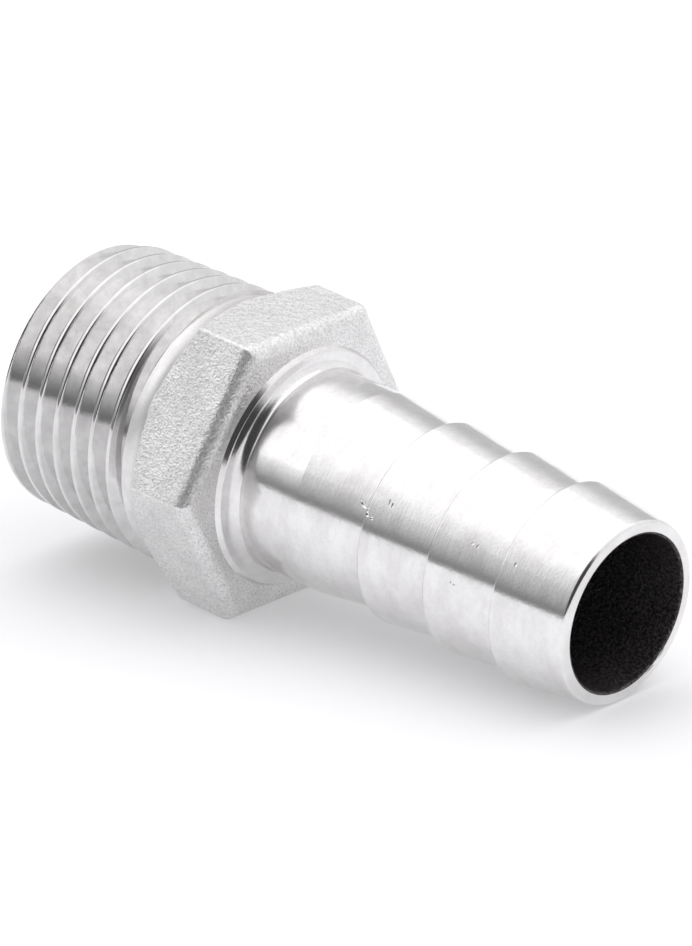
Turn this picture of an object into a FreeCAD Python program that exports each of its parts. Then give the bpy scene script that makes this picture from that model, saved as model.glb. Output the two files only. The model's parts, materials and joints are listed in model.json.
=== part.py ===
import FreeCAD, Part
import math
import os

# Hexagon hose nipple: one stainless casting, turned on a lathe, with a hexagon for the spanner,
# a cut taper pipe thread on one side of it and a barbed hose tail on the other.
# It lies as it comes to rest on a table: on the front edge of one hexagon flat and on the last barb.
#
# Lengths are in millimetres. Along the fitting's own axis, x is 0 at the hexagon's front face,
# positive towards the tail's tip and negative towards the thread's end.

V = FreeCAD.Vector
AXIS = V(1, 0, 0)

# Hexagon, as cast
ACROSS_FLATS = 21.3
CORNER_LENGTH = 5.1          # front face to where the back chamfer cuts a corner
FRONT_EDGE_ROUNDING = 1.1
CORNER_DIAMETER = 24.5       # over the corners, which are turned off a little
BACK_CHAMFER_DEG = 36.0      # from the face plane
BACK_BREAK_LENGTH = 0.95     # cone between the neck and the foot of the chamfer
FLAT_MARGIN = 0.08           # between the flats and the edges of the chamfer's foot

# Taper pipe thread, R 1/2, right-handed
THREADS_PER_INCH = 14
THREAD_LENGTH = 13.0
THREAD_DEPTH = 1.162
THREAD_TAPER = 1.0 / 16.0    # on the diameter
THREAD_FLANK_DEG = 27.5      # half of the 55 degree form
CREST_DIAMETER = 21.04       # at the shoulder beside the neck
CREST_WIDTH = 0.3            # flat on top of each turn
CREST_ANGLE = 148.64         # about the axis from +Y towards +Z, where the last crest is
LAST_CREST = 1.376           # this far from the shoulder
RUN_OUT_TURNS = 0.45         # over which the groove comes up to the crests
RUN_OUT_END = 0.22           # in turns past the crest angle
START_CHAMFER_LENGTH = 0.9
START_CHAMFER_DEPTH = 1.4    # a little below the thread root
NECK_DIAMETER = 20.4         # plain neck between thread and hexagon
NECK_LENGTH = 1.4            # shoulder to the corner of neck and chamfer

# Boss on the hexagon's front face, turned with the tail
BOSS_DIAMETER = 18.1
BOSS_TOP_DIAMETER = 17.1
BOSS_RIM = 0.32              # height of its slanted rim
BOSS_FACE_RISE = 0.1         # its face is slightly conical
BOSS_CORNER = 0.35           # slanted corner between its face and the tail

# Hose tail
TAIL_DIAMETER = 15.2         # plain neck and barb ridges
TAIL_NECK_LENGTH = 6.0       # hexagon's front face to the first taper
BARB_COUNT = 4
BARB_PITCH = 6.15
BARB_ROOT_DIAMETER = 13.6
RIDGE_EDGE_BREAK = 0.1
TIP_EDGE_BREAK = 0.25

# Passage
TAIL_BORE = 11.6
THREAD_BORE = 15.0
BORE_STEP_DEPTH = 2.0        # behind the hexagon's front face, where the passage starts to widen
BORE_CONE_LENGTH = 2.6
BORE_EDGE_BREAK = 0.25

# Derived places
FLAT_RADIUS = ACROSS_FLATS / 2
CORNER_RADIUS = FLAT_RADIUS / math.cos(math.radians(30))
NECK_RADIUS = NECK_DIAMETER / 2
CREST_RADIUS = CREST_DIAMETER / 2
TAIL_RADIUS = TAIL_DIAMETER / 2
ROOT_RADIUS = BARB_ROOT_DIAMETER / 2
CHAMFER_RUN = math.tan(math.radians(BACK_CHAMFER_DEG))   # axial run per unit of radius
BACK_CORNER = -CORNER_LENGTH - (CORNER_RADIUS - NECK_RADIUS) * CHAMFER_RUN
SHOULDER = BACK_CORNER - NECK_LENGTH
THREAD_END = SHOULDER - THREAD_LENGTH
TIP = TAIL_NECK_LENGTH + BARB_COUNT * BARB_PITCH
LAST_RIDGE = TIP - BARB_PITCH
PITCH = 25.4 / THREADS_PER_INCH
STEPS_PER_TURN = 12                                       # points that the thread's splines go through
CLEARANCE = 1.0                                           # by which cutting shapes pass what they cut
HEX_MIDDLE = -CORNER_LENGTH / 2                           # where the turned ends meet inside it


def profile(corners, spline_after=None):
    """Closed wire in the XZ plane through corners (x, r).

    The line that leaves corner spline_after is a straight spline: where it, once turned, crosses a flat,
    the edge is then a spline too.
    """
    points = [V(x, 0, r) for x, r in corners]
    edges = []
    for i, (start, end) in enumerate(zip(points, points[1:] + points[:1])):
        line = Part.LineSegment(start, end)
        edges.append(line.toBSpline().toShape() if i == spline_after else line.toShape())
    return Part.Wire(edges)


def turned(corners, spline_after=None):
    """Solid of revolution about the fitting's axis."""
    return Part.Face(profile(corners, spline_after)).revolve(V(0, 0, 0), AXIS, 360)


def crest_radius(x):
    """Radius of the thread's crest cone at x."""
    return CREST_RADIUS - (SHOULDER - x) * THREAD_TAPER / 2


def thread_line(along, depth, turns):
    """Spline on the screw surface: off the crests' middle by along, and below them by depth.

    Its parameter counts steps from the first turn. The groove rises to the crests over the run-out.
    """
    run_out_start = turns - 2 + RUN_OUT_END - RUN_OUT_TURNS
    points = []
    for step in range(turns * STEPS_PER_TURN + 1):
        turn = step / STEPS_PER_TURN
        x = SHOULDER - LAST_CREST + (turn - turns + 2) * PITCH + along
        angle = math.radians(CREST_ANGLE + 360 * turn)
        share = min(max((turn - run_out_start) / RUN_OUT_TURNS, 0), 1)
        risen = share * share * (3 - 2 * share)
        r = crest_radius(x) - depth * (1 - risen)
        points.append(V(x, r * math.cos(angle), r * math.sin(angle)))
    line = Part.BSplineCurve()
    line.interpolate(Points=points, Parameters=[float(k) for k in range(len(points))])
    return line


def screw():
    """Solid inside the thread's surface, longer than the thread, with a ramp at each end.

    Four ruled strips wind round it: crest, flank, groove floor and flank. The last one ends on the next
    turn's crest.
    """
    turns = math.ceil((THREAD_LENGTH - LAST_CREST) / PITCH) + 3
    flank_foot = CREST_WIDTH / 2 + THREAD_DEPTH * math.tan(math.radians(THREAD_FLANK_DEG))
    lines = [thread_line(*line, turns) for line in (
        (-CREST_WIDTH / 2, 0),
        (CREST_WIDTH / 2, 0),
        (flank_foot, THREAD_DEPTH),
        (PITCH - flank_foot, THREAD_DEPTH),
    )]

    last = (turns - 1) * STEPS_PER_TURN
    edges = [line.toShape(0, last) for line in lines]
    edges.append(lines[0].toShape(STEPS_PER_TURN, last + STEPS_PER_TURN))
    faces = [Part.makeRuledSurface(a, b, 1) for a, b in zip(edges, edges[1:])]
    for turn in (0, turns - 1):
        rim = lines[0].toShape(turn * STEPS_PER_TURN, (turn + 1) * STEPS_PER_TURN)
        start, end = rim.Vertexes[0].Point, rim.Vertexes[-1].Point
        on_axis = [V(start.x, 0, 0), V(end.x, 0, 0)]
        faces.append(Part.makeRuledSurface(Part.makeLine(*on_axis), rim, 1))
        section = [line.value(turn * STEPS_PER_TURN) for line in lines]
        faces.append(Part.Face(Part.makePolygon([on_axis[0]] + section + [end, on_axis[1], on_axis[0]])))
    shell = Part.makeShell(faces)
    shell.sewShape()
    solid = Part.makeSolid(shell)
    if solid.Volume < 0:
        solid.reverse()
    return solid


def thread():
    """Threaded body, cut square at both ends and chamfered at the start."""
    chamfer_slope = START_CHAMFER_DEPTH / START_CHAMFER_LENGTH
    end_r = crest_radius(THREAD_END + START_CHAMFER_LENGTH) - START_CHAMFER_DEPTH
    clear_r = CREST_RADIUS + CLEARANCE
    return screw().common(turned([
        (THREAD_END, 0),
        (THREAD_END, end_r),
        (THREAD_END + (clear_r - end_r) / chamfer_slope, clear_r),
        (SHOULDER, clear_r),
        (SHOULDER, 0),
    ]))


def neck():
    """Plain neck behind the thread, into the hexagon."""
    return turned([
        (SHOULDER, 0),
        (SHOULDER, NECK_RADIUS),
        (HEX_MIDDLE, NECK_RADIUS),
        (HEX_MIDDLE, 0),
    ])


def hexagon():
    """Spanner hexagon with a flat underneath, its front edges rounded as cast."""
    back = THREAD_END
    outline = [V(back, CORNER_RADIUS * math.sin(math.radians(30 + 60 * k)),
                 CORNER_RADIUS * math.cos(math.radians(30 + 60 * k))) for k in range(6)]
    prism = Part.Face(Part.makePolygon(outline + outline[:1])).extrude(V(-back, 0, 0))
    front = [edge for edge in prism.Edges if all(abs(v.X) < 1e-6 for v in edge.Vertexes)]
    return prism.makeFillet(FRONT_EDGE_ROUNDING, front)


def hexagon_turning():
    """What the lathe leaves of the hexagon: its corners, a back chamfer and a cone down to the neck.

    The chamfer's foot is a narrow face square to the axis, which crosses the flats.
    """
    reach = CORNER_DIAMETER / 2
    foot = BACK_CORNER + (FLAT_RADIUS + FLAT_MARGIN - NECK_RADIUS) * CHAMFER_RUN
    return turned([
        (foot - BACK_BREAK_LENGTH, 0),
        (foot - BACK_BREAK_LENGTH, NECK_RADIUS),
        (foot, FLAT_RADIUS - FLAT_MARGIN),
        (foot, FLAT_RADIUS + FLAT_MARGIN),
        (BACK_CORNER + (reach - NECK_RADIUS) * CHAMFER_RUN, reach),
        (CLEARANCE, reach),
        (CLEARANCE, 0),
    ], spline_after=3)


def tail():
    """Boss, plain neck and barbs: each barb tapers towards the tip and steps back towards the hexagon."""
    face = BOSS_RIM + BOSS_FACE_RISE
    corners = [
        (HEX_MIDDLE, 0),
        (HEX_MIDDLE, BOSS_DIAMETER / 2),
        (0, BOSS_DIAMETER / 2),
        (BOSS_RIM, BOSS_TOP_DIAMETER / 2),
        (face, TAIL_RADIUS + BOSS_CORNER),
        (face + BOSS_CORNER, TAIL_RADIUS),
        (TAIL_NECK_LENGTH, TAIL_RADIUS),
    ]
    for k in range(1, BARB_COUNT):
        ridge = TAIL_NECK_LENGTH + k * BARB_PITCH
        corners.append((ridge, ROOT_RADIUS))
        corners.append((ridge, TAIL_RADIUS - RIDGE_EDGE_BREAK))
        corners.append((ridge + RIDGE_EDGE_BREAK, TAIL_RADIUS))
    corners.append((TIP - TIP_EDGE_BREAK, ROOT_RADIUS))
    corners.append((TIP, ROOT_RADIUS - TIP_EDGE_BREAK))
    corners.append((TIP, 0))
    return turned(corners)


def passage():
    """Bore: narrow through the tail, wider through the thread, with broken edges at both mouths."""
    tail_r = TAIL_BORE / 2
    thread_r = THREAD_BORE / 2
    step = -BORE_STEP_DEPTH
    mouth = BORE_EDGE_BREAK + CLEARANCE
    return turned([
        (TIP + CLEARANCE, 0),
        (TIP + CLEARANCE, tail_r + mouth),
        (TIP - BORE_EDGE_BREAK, tail_r),
        (step, tail_r),
        (step - BORE_CONE_LENGTH, thread_r),
        (THREAD_END + BORE_EDGE_BREAK, thread_r),
        (THREAD_END - CLEARANCE, thread_r + mouth),
        (THREAD_END - CLEARANCE, 0),
    ])


def rest_tilt():
    """Angle by which the axis dips when the hexagon's front edge and the tail both touch the table."""
    centre_x = -FRONT_EDGE_ROUNDING
    centre_r = FLAT_RADIUS - FRONT_EDGE_ROUNDING
    supports = [(LAST_RIDGE + RIDGE_EDGE_BREAK, TAIL_RADIUS), (TIP - TIP_EDGE_BREAK, ROOT_RADIUS)]
    angles = []
    for x, r in supports:
        rise = centre_r - r
        run = x - centre_x
        reach = math.hypot(rise, run)
        angles.append(math.acos(-FRONT_EDGE_ROUNDING / reach) - math.atan2(run, rise))
    return min(angles)


fitting = thread().fuse(neck()).fuse(hexagon().common(hexagon_turning())).fuse(tail())
fitting = fitting.cut(passage()).removeSplitter()
fitting.rotate(V(0, 0, 0), V(0, 1, 0), math.degrees(rest_tilt()))
box = fitting.optimalBoundingBox(False)
fitting.translate(V(-(box.XMin + box.XMax) / 2, -(box.YMin + box.YMax) / 2, -box.ZMin))

os.makedirs("parts", exist_ok=True)
fitting.Solids[0].exportStep("parts/hose_nipple.step")
print("solids", len(fitting.Solids), "valid", fitting.isValid(), "volume", round(fitting.Volume, 1))
print("tilt", round(math.degrees(rest_tilt()), 4), "length", round(TIP - THREAD_END, 2))
print("centre of mass", fitting.Solids[0].CenterOfMass)
print("box", fitting.optimalBoundingBox(False))
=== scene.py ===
import json
import math

import bmesh
import bpy
from mathutils import Matrix, Vector


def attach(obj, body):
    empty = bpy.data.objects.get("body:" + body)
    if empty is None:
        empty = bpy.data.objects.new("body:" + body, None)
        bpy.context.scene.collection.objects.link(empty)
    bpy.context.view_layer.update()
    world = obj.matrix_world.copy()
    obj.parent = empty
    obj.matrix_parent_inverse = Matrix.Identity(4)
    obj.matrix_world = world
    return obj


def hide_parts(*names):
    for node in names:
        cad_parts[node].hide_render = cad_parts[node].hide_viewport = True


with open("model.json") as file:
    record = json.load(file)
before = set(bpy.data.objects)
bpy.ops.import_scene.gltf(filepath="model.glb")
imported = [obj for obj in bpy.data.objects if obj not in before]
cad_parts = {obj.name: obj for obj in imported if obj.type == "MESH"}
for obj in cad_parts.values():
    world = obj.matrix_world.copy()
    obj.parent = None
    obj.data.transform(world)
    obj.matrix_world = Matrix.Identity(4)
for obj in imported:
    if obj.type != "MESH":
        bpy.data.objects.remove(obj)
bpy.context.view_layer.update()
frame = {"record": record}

# A stainless hexagon hose nipple lies on a white table: taper pipe thread, hexagon, boss and barbed
# tail in one casting. It is modelled in millimetres along the fitting's own axis, where x is 0 at the
# hexagon's front face and grows towards the tail's tip, and then laid in its place on the table.
# Angles go round the axis from +Y towards +Z.
MM = 0.001

# Hexagon, as cast
ACROSS_FLATS = 21.3
CORNER_LENGTH = 5.1          # from the front face to where the back chamfer cuts a corner
FRONT_ROUNDING = 1.1
CORNER_ROUNDING = 0.3
BACK_CHAMFER_DEG = 36.0      # off the plane of the front face
BACK_FILLET = 2.1            # between the back chamfer and the neck

# Taper pipe thread
THREADS_PER_INCH = 14
PITCH = 25.4 / THREADS_PER_INCH
THREAD_LENGTH = 13.0
THREAD_DEPTH = 1.162
THREAD_TAPER = 1.0 / 16.0    # on the diameter
FLANK_DEG = 27.5             # half of the 55 degree form
CREST_DIAMETER = 21.04       # at the shoulder beside the neck
CREST_WIDTH = 0.3
CREST_SOFTNESS = 0.14        # rounding of each crest's edges
ROOT_SOFTNESS = 0.1
CREST_ANGLE = 148.64         # where the last crest is LAST_CREST from the shoulder
LAST_CREST = 1.376
RUN_OUT_TURNS = 0.34         # over which the groove comes up to the crests
RUN_OUT_END = 0.36           # in turns past the crest angle
START_CHAMFER_LENGTH = 0.9
START_CHAMFER_DEPTH = 1.4
NECK_DIAMETER = 20.4         # plain neck between thread and hexagon
NECK_LENGTH = 1.4

# Boss and tail
BOSS_DIAMETER = 18.1
BOSS_TOP_DIAMETER = 17.6
BOSS_RIM = 0.34              # height of its slanted rim
BOSS_EDGE_ROUNDING = 0.14
BOSS_FACE_RISE = 0.09        # its face is slightly conical
BOSS_FILLET = 0.8
TAIL_DIAMETER = 15.2         # of the plain neck and the barbs' ridges
TAIL_NECK_LENGTH = 6.0       # from the hexagon's front face to the first barb
BARB_COUNT = 4
BARB_PITCH = 6.15
BARB_ROOT_DIAMETER = 13.6
NECK_ROUNDING = 0.5          # where the plain neck passes into the first barb
RIDGE_ROUNDING = 0.2
ROOT_ROUNDING = 0.18
TIP_ROUNDING = 0.3

# Passage
TAIL_BORE = 11.6
THREAD_BORE = 15.0
BORE_STEP_DEPTH = 2.0        # behind the front face, where the passage starts to widen
BORE_CONE_LENGTH = 2.6
BORE_STEP_ROUNDING = 0.5
BORE_EDGE_BREAK = 0.25
MOUTH_ROUNDING = 0.2

# Nicks and dings on the tail: x, angle, length along the axis, width round it, depth, twist
DINGS = [
    (11.45, 154.6, 0.9, 0.34, 0.05, -24),
    (12.30, 155.6, 0.42, 0.5, 0.08, 20),
    (12.42, 157.6, 0.5, 0.36, 0.07, -35),
    (12.85, 158.6, 0.34, 0.3, 0.05, 30),
    (13.68, 147.0, 0.16, 0.62, 0.025, 12),
    (13.98, 147.9, 0.2, 0.5, 0.03, 12),
    (21.45, 148.3, 0.4, 0.24, 0.02, 20),
    (21.85, 148.8, 0.2, 0.4, 0.02, -10),
    (25.60, 149.4, 0.24, 0.4, 0.02, 15),
    (20.60, 172.4, 0.14, 0.62, 0.03, 10),
    (20.95, 173.6, 0.3, 0.26, 0.025, 30),
]
# Burrs pressed into the mouth of the bore: angle, length along the axis, width round it, depth
MOUTH_BURRS = [(-47.0, 0.3, 1.2, 0.04), (-61.0, 0.3, 1.4, 0.04)]
BALL_HEIGHT = 4              # height of the ball that presses a mark, over the mark's depth
BURR_SEAT = 0.2              # how far a burr's ball stands off the bore, over its width

# How finely things are divided and joined
TURN_STEPS = 288
THREAD_STEPS = 144
SHARP_DEG = 35.0
CLEARANCE = 1.0              # by which a cutting shape passes what it cuts
SPARE_TURNS = 2              # of thread wound past each end
SPARE_END = 0.4              # of thread left at each end for the blank to cut
MERGE_WITHIN = 0.0008
SAME_PLACE = 0.001
SAME_ANGLE = 0.05
ROUND_OFF = 1e-6             # turns by which a point on a crest may miss it

# Camera, set for the photograph's view
PHOTO_SIZE = (692, 946)
FOCAL_PIXELS = 8000.0
VIEW_AZIMUTH = 42.724
VIEW_ELEVATION = 20.305
VIEW_ROLL = -0.891
VIEW_DISTANCE = 569.41
VIEW_AIM = (-2.215, 1.966, 9.937)

# Light: share of plain white in the table top as seen, and strength of the light from low down and
# from straight above
FLOOR_WHITE = 0.3
LOW_LIGHT = 0.2
HIGH_LIGHT = 1.85
# Table and lamp, in metres and watts
TABLE_SIZE = 6.0
LAMP_SIZE = 0.7
LAMP_PLACE = (-0.05, 0.25, 0.72)
LAMP_POWER = 0.35
# Tent: colour at the horizon and straight above, and brightness at heights between them
TENT_HORIZON = (0.95, 0.95, 0.96, 1)
TENT_TOP = (1.12, 1.12, 1.12, 1)
TENT_HEIGHTS = ((0.3, 1.02), (0.5, 1.04), (0.7, 1.08), (0.85, 1.15))
# Patches of the tent: azimuth, elevation, angle off this where it ends, angle where it is full,
# brightness. The dark strip also fades upwards between two heights.
LIGHT_PANEL = (-140, 65, 43, 39, 1.3)
GREY_SCREEN = (130, 8, 34, 12, 0.62)
DARK_STRIP = (-118, 0, 66, 42, 0.24)
OPENING = (-56, 18, 57, 38, 0.05)
LOW_OPENING = (-17, 4, 32, 20, 0.05)
STRIP_FADES = (0.41, 0.08)

# Derived places
FLAT_R = ACROSS_FLATS / 2
CORNER_R = FLAT_R / math.cos(math.radians(30))
NECK_R = NECK_DIAMETER / 2
CREST_R = CREST_DIAMETER / 2
TAIL_R = TAIL_DIAMETER / 2
ROOT_R = BARB_ROOT_DIAMETER / 2
TAIL_BORE_R = TAIL_BORE / 2
THREAD_BORE_R = THREAD_BORE / 2
CHAMFER_RUN = math.tan(math.radians(BACK_CHAMFER_DEG))
BACK_CORNER = -CORNER_LENGTH - (CORNER_R - NECK_R) * CHAMFER_RUN
SHOULDER = BACK_CORNER - NECK_LENGTH
THREAD_END = SHOULDER - THREAD_LENGTH
BORE_STEP = -BORE_STEP_DEPTH
BORE_STEP_END = BORE_STEP - BORE_CONE_LENGTH
TIP = TAIL_NECK_LENGTH + BARB_COUNT * BARB_PITCH

# Material slots of every piece
TURNED, CAST, BORE, THREAD, FACED = 0, 1, 2, 3, 4


def fitting_frame():
    """Matrix from the fitting's own axis, in millimetres, to its place on the table, in metres."""
    mount = next(m for m in frame["record"]["mounts"] if m["name"] == "tail_bore")
    along = Vector(mount["axis"]).normalized()
    side = Vector((0, 1, 0))
    up = along.cross(side)
    bore_middle = (TIP - BORE_EDGE_BREAK - BORE_STEP_DEPTH) / 2
    origin = Vector(mount["pos_m"]) - along * bore_middle * MM
    turn = Matrix((along, side, up)).transposed().to_4x4()
    return Matrix.Translation(origin) @ turn @ Matrix.Scale(MM, 4)


TO_TABLE = fitting_frame()


def radius(point):
    """Distance of a point from the fitting's axis."""
    return math.hypot(point.y, point.z)


def angle(point):
    """Angle of a point round the fitting's axis, in degrees."""
    return math.degrees(math.atan2(point.z, point.y))


def pick(kind, wanted):
    """Select, in edit mode, just the vertices, edges or faces for which wanted is true."""
    bpy.ops.mesh.select_mode(type=kind)
    bpy.ops.mesh.select_all(action="DESELECT")
    mesh = bpy.context.edit_object.data
    work = bmesh.from_edit_mesh(mesh)
    parts = {"VERT": work.verts, "EDGE": work.edges, "FACE": work.faces}[kind]
    for part in parts:
        if wanted(part):
            part.select_set(True)
    bmesh.update_edit_mesh(mesh)


def close_up():
    """Merge doubled points and turn all faces outwards."""
    bpy.ops.mesh.select_all(action="SELECT")
    bpy.ops.mesh.remove_doubles(threshold=MERGE_WITHIN)
    bpy.ops.mesh.normals_make_consistent(inside=False)


def lathe_profile(name, corners):
    """One point extruded from corner to corner (x, r, rounding) in the profile plane."""
    bpy.ops.object.select_all(action="DESELECT")
    bpy.ops.mesh.primitive_plane_add(size=1.0, location=(0, 0, 0))
    piece = bpy.context.object
    piece.name = name
    piece.data.name = name
    bpy.ops.object.mode_set(mode="EDIT")
    bpy.ops.mesh.select_mode(type="VERT")
    bpy.ops.mesh.select_all(action="SELECT")
    bpy.ops.mesh.merge(type="CENTER")
    x, r = corners[0][:2]
    bpy.ops.transform.translate(value=(x, 0, r))
    for next_x, next_r, _ in corners[1:]:
        bpy.ops.mesh.extrude_region_move(
            TRANSFORM_OT_translate={"value": (next_x - x, 0, next_r - r)})
        x, r = next_x, next_r
    return piece


def round_corners(corners, segments):
    """Round the profile's points that have a rounding, each to that radius."""
    for i, (x, r, rounding) in enumerate(corners):
        if not rounding:
            continue
        here = Vector((x, 0, r))
        before = (Vector((corners[i - 1][0], 0, corners[i - 1][1])) - here).normalized()
        after = corners[(i + 1) % len(corners)]
        after = (Vector((after[0], 0, after[1])) - here).normalized()
        setback = rounding / math.tan(before.angle(after) / 2)
        pick("VERT", lambda v: (v.co - here).length < SAME_PLACE)
        bpy.ops.mesh.bevel(offset=setback, segments=segments, affect="VERTICES", clamp_overlap=False)


def turned(name, corners, segments=5):
    """Closed ring with a profile of corners (x, r, rounding), turned about the fitting's axis."""
    piece = lathe_profile(name, corners + corners[:1])
    bpy.ops.mesh.select_all(action="SELECT")
    bpy.ops.mesh.remove_doubles(threshold=MERGE_WITHIN)
    round_corners(corners, segments)
    bpy.ops.mesh.select_all(action="SELECT")
    bpy.ops.mesh.spin(steps=TURN_STEPS, angle=2 * math.pi, center=(0, 0, 0), axis=(1, 0, 0))
    close_up()
    bpy.ops.object.mode_set(mode="OBJECT")
    return piece


def finish_with(piece, materials, by_place):
    """Give the piece its materials, each face's slot chosen by the face's middle and its normal."""
    piece.data.materials.clear()
    for material in materials:
        piece.data.materials.append(material)
    for face in piece.data.polygons:
        face.material_index = by_place(face)


def combine(piece, other, operation):
    """Boolean of the piece with another one, which is then removed."""
    bpy.ops.object.select_all(action="DESELECT")
    bpy.context.view_layer.objects.active = piece
    cut = piece.modifiers.new("cut", "BOOLEAN")
    cut.operation = operation
    cut.solver = "EXACT"
    cut.use_self = operation == "DIFFERENCE"
    cut.object = other
    bpy.ops.object.modifier_apply(modifier=cut.name)
    bpy.data.objects.remove(other)


def lay_on_table(piece):
    """Put the finished piece in its place, with smooth shading, and join it to the row."""
    bpy.ops.object.select_all(action="DESELECT")
    piece.select_set(True)
    bpy.context.view_layer.objects.active = piece
    bpy.ops.object.shade_smooth_by_angle(angle=math.radians(SHARP_DEG))
    even = piece.modifiers.new("even", "WEIGHTED_NORMAL")
    even.keep_sharp = True
    bpy.ops.object.modifier_apply(modifier=even.name)
    piece.matrix_world = TO_TABLE
    bpy.ops.object.transform_apply(location=True, rotation=True, scale=True)
    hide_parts("hose_nipple")
    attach(piece, "root")


def surface_radius(x):
    """Radius of the plain tail or of the barbs at x."""
    along = (x - TAIL_NECK_LENGTH) / BARB_PITCH
    if along < 0:
        return TAIL_R
    return TAIL_R - (TAIL_R - ROOT_R) * (along % 1.0)


def pressed_ball(x, r, around, size, twist=0.0):
    """Ball squashed to a size along, round and off the axis, at a place on the fitting."""
    bpy.ops.mesh.primitive_ico_sphere_add(subdivisions=3, radius=0.5)
    ball = bpy.context.object
    turn = math.radians(around)
    ball.matrix_world = (Matrix.Translation((x, r * math.cos(turn), r * math.sin(turn)))
                         @ Matrix.Rotation(turn - math.pi / 2, 4, "X")
                         @ Matrix.Rotation(math.radians(twist), 4, "Z")
                         @ Matrix.Diagonal((*size, 1.0)))
    bpy.ops.object.transform_apply(location=True, rotation=True, scale=True)
    return ball


def cut_dings(piece):
    """Press the tail's dings and the burrs at its mouth into the metal."""
    bpy.ops.object.select_all(action="DESELECT")
    balls = []
    for x, around, length, width, depth, twist in DINGS:
        height = BALL_HEIGHT * depth
        r = surface_radius(x) + height / 2 - depth
        balls.append(pressed_ball(x, r, around, (length, width, height), twist))
    for around, length, width, depth in MOUTH_BURRS:
        r = TAIL_BORE_R + BURR_SEAT * width
        balls.append(pressed_ball(TIP, r, around, (length, width, BALL_HEIGHT * depth)))
    bpy.ops.object.select_all(action="DESELECT")
    for ball in balls:
        ball.select_set(True)
    bpy.context.view_layer.objects.active = balls[0]
    bpy.ops.object.join()
    combine(piece, balls[0], "DIFFERENCE")


def in_bore(face):
    """Whether a face belongs to the passage."""
    centre = face.center
    outward = Vector((0, centre.y, centre.z)).dot(face.normal)
    return outward < 0 and radius(centre) < THREAD_BORE_R + BORE_EDGE_BREAK


def hose_tail(materials):
    """Boss, plain neck and four barbs, turned in one with the front part of the passage."""
    boss_top = BOSS_RIM + BOSS_FACE_RISE
    corners = [
        (0, TAIL_BORE_R, 0),
        (0, BOSS_DIAMETER / 2, 0),
        (BOSS_RIM, BOSS_TOP_DIAMETER / 2, BOSS_EDGE_ROUNDING),
        (boss_top, TAIL_R, BOSS_FILLET),
        (TAIL_NECK_LENGTH, TAIL_R, NECK_ROUNDING),
    ]
    for k in range(1, BARB_COUNT):
        ridge = TAIL_NECK_LENGTH + k * BARB_PITCH
        corners.append((ridge, ROOT_R, ROOT_ROUNDING))
        corners.append((ridge, TAIL_R, RIDGE_ROUNDING))
    corners.append((TIP, ROOT_R, TIP_ROUNDING))
    corners.append((TIP, TAIL_BORE_R, MOUTH_ROUNDING))
    piece = turned("hose_tail", corners)
    finish_with(piece, materials, lambda face: BORE if in_bore(face) else TURNED)
    cut_dings(piece)
    lay_on_table(piece)
    return piece


def hexagon(materials):
    """Cast hexagon with soft front edges, its back and neck cut to a turned shape."""
    length = CLEARANCE - SHOULDER
    bpy.ops.object.select_all(action="DESELECT")
    bpy.ops.mesh.primitive_cylinder_add(vertices=6, radius=CORNER_R, depth=length,
                                        location=(-length / 2, 0, 0), rotation=(0, math.pi / 2, 0))
    piece = bpy.context.object
    piece.name = "hexagon"
    piece.data.name = "hexagon"
    bpy.ops.object.transform_apply(location=True, rotation=True, scale=True)
    bpy.ops.object.mode_set(mode="EDIT")
    pick("EDGE", lambda e: all(abs(v.co.x) < SAME_PLACE for v in e.verts))
    bpy.ops.mesh.bevel(offset=FRONT_ROUNDING, segments=8, profile=0.5, affect="EDGES")

    def is_corner(edge):
        """Whether an edge runs lengthways on one of the hexagon's corners."""
        first, second = (v.co for v in edge.verts)
        off_corner = abs((angle(first) + 30) % 60 - 30)
        aside = Vector((0, *first.yz)).normalized() - Vector((0, *second.yz)).normalized()
        return off_corner < SAME_ANGLE and aside.length < SAME_PLACE

    pick("EDGE", is_corner)
    bpy.ops.mesh.bevel(offset=CORNER_ROUNDING / math.tan(math.radians(60)), segments=3, profile=0.5,
                       affect="EDGES")
    close_up()
    bpy.ops.object.mode_set(mode="OBJECT")
    finish_with(piece, materials, lambda face: CAST)

    reach = CORNER_R + CLEARANCE
    blank = turned("turned_blank", [
        (SHOULDER, THREAD_BORE_R, 0),
        (SHOULDER, NECK_R, 0),
        (BACK_CORNER, NECK_R, BACK_FILLET),
        (BACK_CORNER + (reach - NECK_R) * CHAMFER_RUN, reach, 0),
        (CLEARANCE, reach, 0),
        (CLEARANCE, TAIL_BORE_R, 0),
        (BORE_STEP, TAIL_BORE_R, BORE_STEP_ROUNDING),
        (BORE_STEP_END, THREAD_BORE_R, BORE_STEP_ROUNDING),
    ], segments=7)
    finish_with(blank, materials, lambda face: BORE if in_bore(face) else FACED)
    combine(piece, blank, "INTERSECT")
    lay_on_table(piece)
    return piece


def crest_radius(x):
    """Radius of the thread's crest cone at x."""
    return CREST_R - (SHOULDER - x) * THREAD_TAPER / 2


def taper_and_run_out(mesh):
    """Bring an even screw to the taper, and draw its groove out of the metal before the shoulder."""
    for vertex in mesh.vertices:
        x = vertex.co.x
        depth = CREST_R - radius(vertex.co)
        around = (angle(vertex.co) - CREST_ANGLE) / 360
        turn = math.floor((x - SHOULDER + LAST_CREST) / PITCH - around + ROUND_OFF) + around
        share = (turn - RUN_OUT_END + RUN_OUT_TURNS) / RUN_OUT_TURNS
        share = min(max(share, 0), 1)
        risen = share * share * (3 - 2 * share)
        left = max(depth - THREAD_DEPTH * risen, 0)
        scale = (crest_radius(x) - left) / radius(vertex.co)
        vertex.co.y *= scale
        vertex.co.z *= scale


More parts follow.
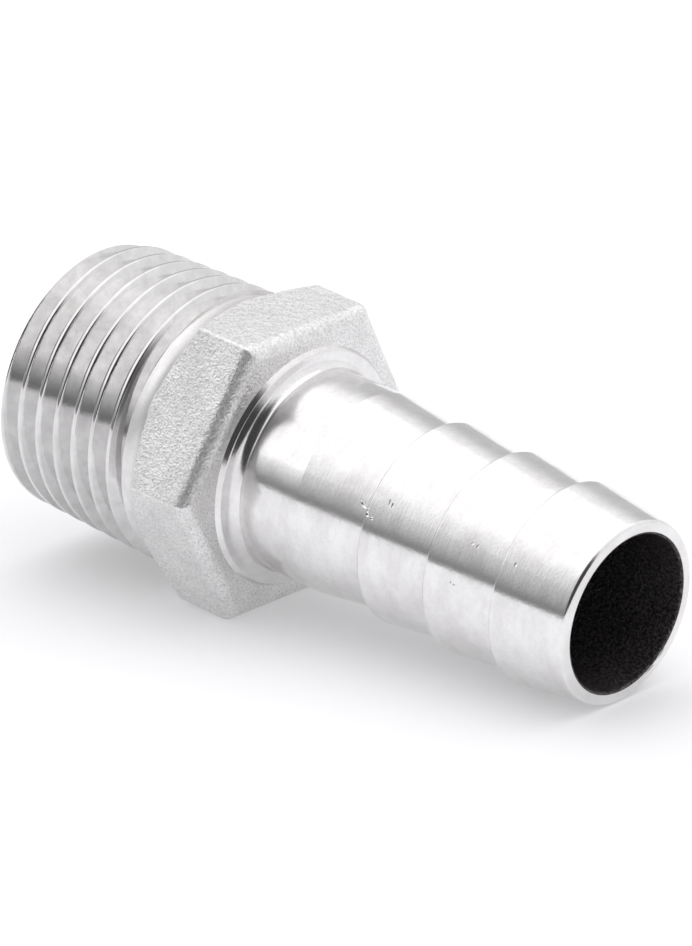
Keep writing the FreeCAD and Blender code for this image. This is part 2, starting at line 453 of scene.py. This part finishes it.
def pipe_thread(materials):
    """Taper thread: one groove's profile is screwed round the axis, and the ends are cut square."""
    flank = THREAD_DEPTH * math.tan(math.radians(FLANK_DEG))
    first_turn = -math.ceil(THREAD_LENGTH / PITCH) - SPARE_TURNS
    start = SHOULDER - LAST_CREST + (first_turn - CREST_ANGLE / 360) * PITCH
    groove = [
        (start, CREST_R, 0),
        (start + CREST_WIDTH / 2, CREST_R, CREST_SOFTNESS),
        (start + CREST_WIDTH / 2 + flank, CREST_R - THREAD_DEPTH, ROOT_SOFTNESS),
        (start + PITCH - CREST_WIDTH / 2 - flank, CREST_R - THREAD_DEPTH, ROOT_SOFTNESS),
        (start + PITCH - CREST_WIDTH / 2, CREST_R, CREST_SOFTNESS),
        (start + PITCH, CREST_R, 0),
    ]
    piece = lathe_profile("pipe_thread", groove)
    round_corners(groove, 4)
    bpy.ops.mesh.select_all(action="SELECT")
    # The groove starts at angle 0, on +Y. With no window, a turn by a quarter goes there from +Z.
    bpy.ops.transform.rotate(value=math.pi / 2, orient_axis="X", center_override=(0, 0, 0))
    bpy.ops.object.mode_set(mode="OBJECT")
    wind = piece.modifiers.new("wind", "SCREW")
    wind.axis = "X"
    wind.angle = 2 * math.pi
    wind.screw_offset = PITCH
    wind.iterations = SPARE_TURNS - first_turn
    wind.steps = THREAD_STEPS
    wind.render_steps = THREAD_STEPS
    bpy.ops.object.modifier_apply(modifier=wind.name)
    taper_and_run_out(piece.data)
    bpy.ops.object.mode_set(mode="EDIT")
    close_up()
    for x, direction in ((THREAD_END - SPARE_END, -1), (SHOULDER + SPARE_END, 1)):
        bpy.ops.mesh.select_all(action="SELECT")
        bpy.ops.mesh.bisect(plane_co=(x, 0, 0), plane_no=(direction, 0, 0), use_fill=True,
                            clear_outer=True)
    close_up()
    bpy.ops.object.mode_set(mode="OBJECT")
    finish_with(piece, materials, lambda face: THREAD)

    reach = CREST_R + CLEARANCE
    slope = START_CHAMFER_LENGTH / START_CHAMFER_DEPTH
    end_r = crest_radius(THREAD_END + START_CHAMFER_LENGTH) - START_CHAMFER_DEPTH
    envelope = turned("thread_blank", [
        (THREAD_END + BORE_EDGE_BREAK, THREAD_BORE_R, 0),
        (THREAD_END, THREAD_BORE_R + BORE_EDGE_BREAK, 0),
        (THREAD_END, end_r, 0),
        (THREAD_END + (reach - end_r) * slope, reach, 0),
        (SHOULDER, reach, 0),
        (SHOULDER, THREAD_BORE_R, 0),
    ])
    finish_with(envelope, materials, lambda face: BORE if in_bore(face) else TURNED)
    combine(piece, envelope, "INTERSECT")
    lay_on_table(piece)
    return piece


def srgb(code):
    """Linear colour of a hexadecimal sRGB code."""
    parts = [int(code[i:i + 2], 16) / 255 for i in (0, 2, 4)]
    return tuple(p / 12.92 if p <= 0.04045 else ((p + 0.055) / 1.055) ** 2.4 for p in parts) + (1.0,)


def add(tree, kind, inputs=None, **settings):
    """A new node with its settings and its inputs, given as values or as sockets to link."""
    node = tree.nodes.new(kind)
    for key, value in settings.items():
        setattr(node, key, value)
    for key, value in (inputs or {}).items():
        if isinstance(value, bpy.types.NodeSocket):
            tree.links.new(value, node.inputs[key])
        else:
            node.inputs[key].default_value = value
    return node


def metal(name, roughness):
    """A metal material and its shader, to which the caller adds the detail."""
    material = bpy.data.materials.new(name)
    material.use_nodes = True
    shader = material.node_tree.nodes["Principled BSDF"]
    shader.inputs["Metallic"].default_value = 1.0
    shader.inputs["Roughness"].default_value = roughness
    return material, material.node_tree, shader


def axis_coordinates(tree):
    """Object coordinates turned to the fitting's axis, in millimetres."""
    to_axis = TO_TABLE.inverted()
    where = add(tree, "ShaderNodeTexCoord")
    return add(tree, "ShaderNodeMapping", {
        "Vector": where.outputs["Object"],
        "Location": to_axis.to_translation(),
        "Rotation": to_axis.to_euler(),
        "Scale": (1 / MM,) * 3,
    }).outputs["Vector"]


def noise(tree, place, scale, detail=3.0, roughness=0.55, stretch=(1, 1, 1)):
    """Noise of a size in millimetres, from 0 to 1."""
    if stretch != (1, 1, 1):
        place = add(tree, "ShaderNodeMapping", {"Vector": place, "Scale": stretch}).outputs["Vector"]
    return add(tree, "ShaderNodeTexNoise", {"Vector": place, "Scale": 1 / scale, "Detail": detail,
                                           "Roughness": roughness}).outputs["Fac"]


def spread(tree, value, low, high, to_low, to_high):
    """A value spread from one range to another, and clamped."""
    return add(tree, "ShaderNodeMapRange", {"Value": value, "From Min": low, "From Max": high,
                                           "To Min": to_low, "To Max": to_high}).outputs["Result"]


def blend(tree, share, first, second):
    """Colour between two sRGB codes or colour sockets."""
    colours = [srgb(c) if isinstance(c, str) else c for c in (first, second)]
    return add(tree, "ShaderNodeMix", {"Factor": share, "A": colours[0], "B": colours[1]},
               data_type="RGBA").outputs["Result"]


def bump(tree, height, distance, strength, normal=None):
    """Bump of a height field whose full height is a distance in millimetres."""
    inputs = {"Height": height, "Strength": strength, "Distance": distance * MM}
    if normal:
        inputs["Normal"] = normal
    return add(tree, "ShaderNodeBump", inputs).outputs["Normal"]


def turned_steel(name, smooth, rough):
    """Stainless steel turned on a lathe: bright, with faint marks round the axis and some smears."""
    material, tree, shader = metal(name, rough)
    place = axis_coordinates(tree)
    # A real feed of about 0.05 mm wouldn't show, so its marks are drawn 0.14 mm apart.
    feed = noise(tree, place, 0.14, 2.0, 0.6, (1.0, 0.03, 0.03))
    smears = noise(tree, place, 1.6, 5.0, 0.65, (1.0, 0.6, 0.6))
    flecks = noise(tree, place, 0.22, 3.0, 0.7)
    tone = blend(tree, spread(tree, smears, 0.38, 0.66, 0.0, 1.0), "EDECEC", "E0DEDE")
    tone = blend(tree, spread(tree, flecks, 0.5, 0.8, 0.0, 0.3), tone, "C4C2C2")
    tree.links.new(tone, shader.inputs["Base Color"])
    tree.links.new(spread(tree, smears, 0.3, 0.72, smooth, rough), shader.inputs["Roughness"])
    marks = bump(tree, feed, 0.003, 0.6)
    tree.links.new(bump(tree, flecks, 0.008, 0.5, marks), shader.inputs["Normal"])
    return material


def threaded_steel():
    """Stainless steel cut by a threading tool: smooth, a little greyer, marked along the groove."""
    material, tree, shader = metal("cut_thread", 0.12)
    place = axis_coordinates(tree)
    feed = noise(tree, place, 0.1, 2.0, 0.6, (1.0, 0.05, 0.05))
    smears = noise(tree, place, 1.2, 5.0, 0.65)
    tone = blend(tree, spread(tree, smears, 0.35, 0.68, 0.0, 1.0), "E2E1E1", "D3D2D2")
    tree.links.new(tone, shader.inputs["Base Color"])
    tree.links.new(spread(tree, smears, 0.3, 0.72, 0.07, 0.15), shader.inputs["Roughness"])
    marks = bump(tree, feed, 0.004, 0.7)
    tree.links.new(bump(tree, smears, 0.012, 0.4, marks), shader.inputs["Normal"])
    return material


def cast_steel():
    """Stainless steel, cast and shot-blasted: a dull bright grain with lumps and uneven patches."""
    material, tree, shader = metal("blasted_stainless", 0.4)
    place = axis_coordinates(tree)
    # Fine shot leaves dents of about 0.1 mm, drawn at 0.17 mm so that they show.
    grain = noise(tree, place, 0.17, 2.0, 0.6)
    lumps = noise(tree, place, 0.55, 3.0, 0.6)
    patches = noise(tree, place, 3.0, 3.0, 0.6)
    tone = blend(tree, spread(tree, patches, 0.35, 0.7, 0.0, 1.0), "F6F5F5", "E9E8E8")
    tone = blend(tree, spread(tree, grain, 0.42, 0.75, 0.0, 0.65), tone, "ADABAB")
    tree.links.new(tone, shader.inputs["Base Color"])
    tree.links.new(spread(tree, patches, 0.3, 0.7, 0.36, 0.46), shader.inputs["Roughness"])
    coarse = bump(tree, lumps, 0.11, 0.7)
    tree.links.new(bump(tree, grain, 0.06, 1.0, coarse), shader.inputs["Normal"])
    return material


def bore_steel():
    """Stainless steel as drilled and dull, coloured dark as painted shade: a rough wall with fine bright
    specks.
    """
    material, tree, shader = metal("dull_bore_painted_shade", 0.5)
    place = axis_coordinates(tree)
    specks = noise(tree, place, 0.2, 3.0, 0.75)
    # Painted shade: the wall's colour is kept dark for the shade inside the passage, with brighter specks.
    tone = blend(tree, spread(tree, specks, 0.42, 0.7, 0.0, 1.0), "343131", "858180")
    tree.links.new(tone, shader.inputs["Base Color"])
    tree.links.new(bump(tree, specks, 0.15, 1.0), shader.inputs["Normal"])
    return material


def seen_share(tree):
    """1 for what the camera, a reflection or clear material sees, 0 for what lights things."""
    ray = add(tree, "ShaderNodeLightPath").outputs
    seen = add(tree, "ShaderNodeMath", {0: ray["Is Camera Ray"], 1: ray["Is Glossy Ray"]},
               operation="MAXIMUM").outputs[0]
    return add(tree, "ShaderNodeMath", {0: seen, 1: ray["Is Transmission Ray"]},
               operation="MAXIMUM").outputs[0]


def table():
    """Plain white table."""
    bpy.ops.object.select_all(action="DESELECT")
    bpy.ops.mesh.primitive_plane_add(size=TABLE_SIZE, location=(0, 0, 0))
    top = bpy.context.object
    top.name = "white_table"
    material = bpy.data.materials.new("white_table")
    material.use_nodes = True
    tree = material.node_tree
    shader = tree.nodes["Principled BSDF"]
    shader.inputs["Base Color"].default_value = srgb("FBFBFE")
    shader.inputs["Roughness"].default_value = 0.8
    shader.inputs["Specular IOR Level"].default_value = 0.2
    # A share of what the camera and the metal see is plain white, so that the shadows stay pale.
    share = add(tree, "ShaderNodeMath", {0: seen_share(tree), 1: FLOOR_WHITE},
                operation="MULTIPLY").outputs[0]
    white = add(tree, "ShaderNodeEmission", {"Color": (1, 1, 1, 1), "Strength": 1.0})
    mix = add(tree, "ShaderNodeMixShader", {"Fac": share, 1: shader.outputs["BSDF"],
                                           2: white.outputs["Emission"]})
    tree.links.new(mix.outputs["Shader"], tree.nodes["Material Output"].inputs["Surface"])
    top.data.materials.append(material)


def towards(azimuth, elevation):
    """Unit vector of a direction in degrees, from +X towards +Y, and up."""
    a, e = math.radians(azimuth), math.radians(elevation)
    return Vector((math.cos(a) * math.cos(e), math.sin(a) * math.cos(e), math.sin(e)))


def surroundings():
    """White tent, brightest overhead, with the dark room seen through its opening round the camera."""
    world = bpy.data.worlds.new("tent")
    world.use_nodes = True
    tree = world.node_tree
    tree.nodes.clear()
    direction = add(tree, "ShaderNodeTexCoord").outputs["Generated"]
    height = add(tree, "ShaderNodeSeparateXYZ", {"Vector": direction}).outputs["Z"]
    ramp = add(tree, "ShaderNodeValToRGB", {"Fac": height})
    stops = ramp.color_ramp.elements
    stops[0].position = 0.0
    stops[0].color = TENT_HORIZON
    stops[1].position = 1.0
    stops[1].color = TENT_TOP
    for where, value in TENT_HEIGHTS:
        stop = stops.new(where)
        stop.color = (value, value, value, 1)

    def near(azimuth, elevation, wide, narrow):
        """1 within an angle of a direction, falling to 0 at a wider one."""
        dot = add(tree, "ShaderNodeVectorMath", {0: direction, 1: towards(azimuth, elevation)},
                  operation="DOT_PRODUCT")
        return add(tree, "ShaderNodeMapRange", {
            "Value": dot.outputs["Value"], "From Min": math.cos(math.radians(wide)),
            "From Max": math.cos(math.radians(narrow))}, interpolation_type="SMOOTHSTEP").outputs["Result"]

    colour = ramp.outputs["Color"]
    for patch in (LIGHT_PANEL, GREY_SCREEN, DARK_STRIP, OPENING, LOW_OPENING):
        share = near(*patch[:4])
        if patch is DARK_STRIP:
            share = add(tree, "ShaderNodeMath", {0: share, 1: spread(tree, height, *STRIP_FADES, 0.0, 1.0)},
                        operation="MULTIPLY").outputs[0]
        brightness = patch[4]
        grey = (brightness, brightness, brightness, 1)
        colour = add(tree, "ShaderNodeMix", {"Factor": share, "A": colour, "B": grey},
                     data_type="RGBA").outputs["Result"]
    tent = add(tree, "ShaderNodeBackground", {"Color": colour, "Strength": 1.0})
    # The table is lit evenly from all round, most from above; the tent is what the metal shows.
    even = add(tree, "ShaderNodeBackground", {
        "Color": (1, 1, 1, 1), "Strength": spread(tree, height, 0.3, 1.0, LOW_LIGHT, HIGH_LIGHT)})
    mix = add(tree, "ShaderNodeMixShader", {"Fac": seen_share(tree), 1: even.outputs["Background"],
                                           2: tent.outputs["Background"]})
    out = add(tree, "ShaderNodeOutputWorld")
    tree.links.new(mix.outputs["Shader"], out.inputs["Surface"])
    bpy.context.scene.world = world


def overhead_light():
    """Large soft light above the table."""
    light = bpy.data.lights.new("overhead", "AREA")
    light.shape = "SQUARE"
    light.size = LAMP_SIZE
    light.energy = LAMP_POWER
    lamp = bpy.data.objects.new("overhead", light)
    lamp.location = LAMP_PLACE
    lamp.rotation_euler = (Vector((0, 0, 0)) - lamp.location).to_track_quat("-Z", "Y").to_euler()
    lamp.visible_camera = False
    bpy.context.scene.collection.objects.link(lamp)


def camera():
    """The photograph's camera."""
    data = bpy.data.cameras.new("photo_view")
    data.sensor_width = 36.0
    data.lens = FOCAL_PIXELS / max(PHOTO_SIZE) * data.sensor_width
    data.clip_start = 0.01
    data.clip_end = 20.0
    azimuth = math.radians(VIEW_AZIMUTH)
    elevation = math.radians(VIEW_ELEVATION)
    roll = math.radians(VIEW_ROLL)
    forward = Vector((-math.sin(azimuth) * math.cos(elevation), math.cos(azimuth) * math.cos(elevation),
                      -math.sin(elevation)))
    level = Vector((math.cos(azimuth), math.sin(azimuth), 0))
    right = level * math.cos(roll) + level.cross(forward) * math.sin(roll)
    up = right.cross(forward)
    place = Matrix((right, up, -forward)).transposed().to_4x4()
    place.translation = (Vector(VIEW_AIM) - forward * VIEW_DISTANCE) * MM
    viewer = bpy.data.objects.new("photo_view", data)
    viewer.matrix_world = place
    bpy.context.scene.collection.objects.link(viewer)
    bpy.context.scene.camera = viewer


bpy.context.scene.view_settings.view_transform = "Standard"
finishes = [
    turned_steel("turned_stainless", 0.1, 0.2),
    cast_steel(),
    bore_steel(),
    threaded_steel(),
    turned_steel("faced_stainless", 0.36, 0.46),
]
hose_tail(finishes)
hexagon(finishes)
pipe_thread(finishes)
table()
surroundings()
overhead_light()
camera()
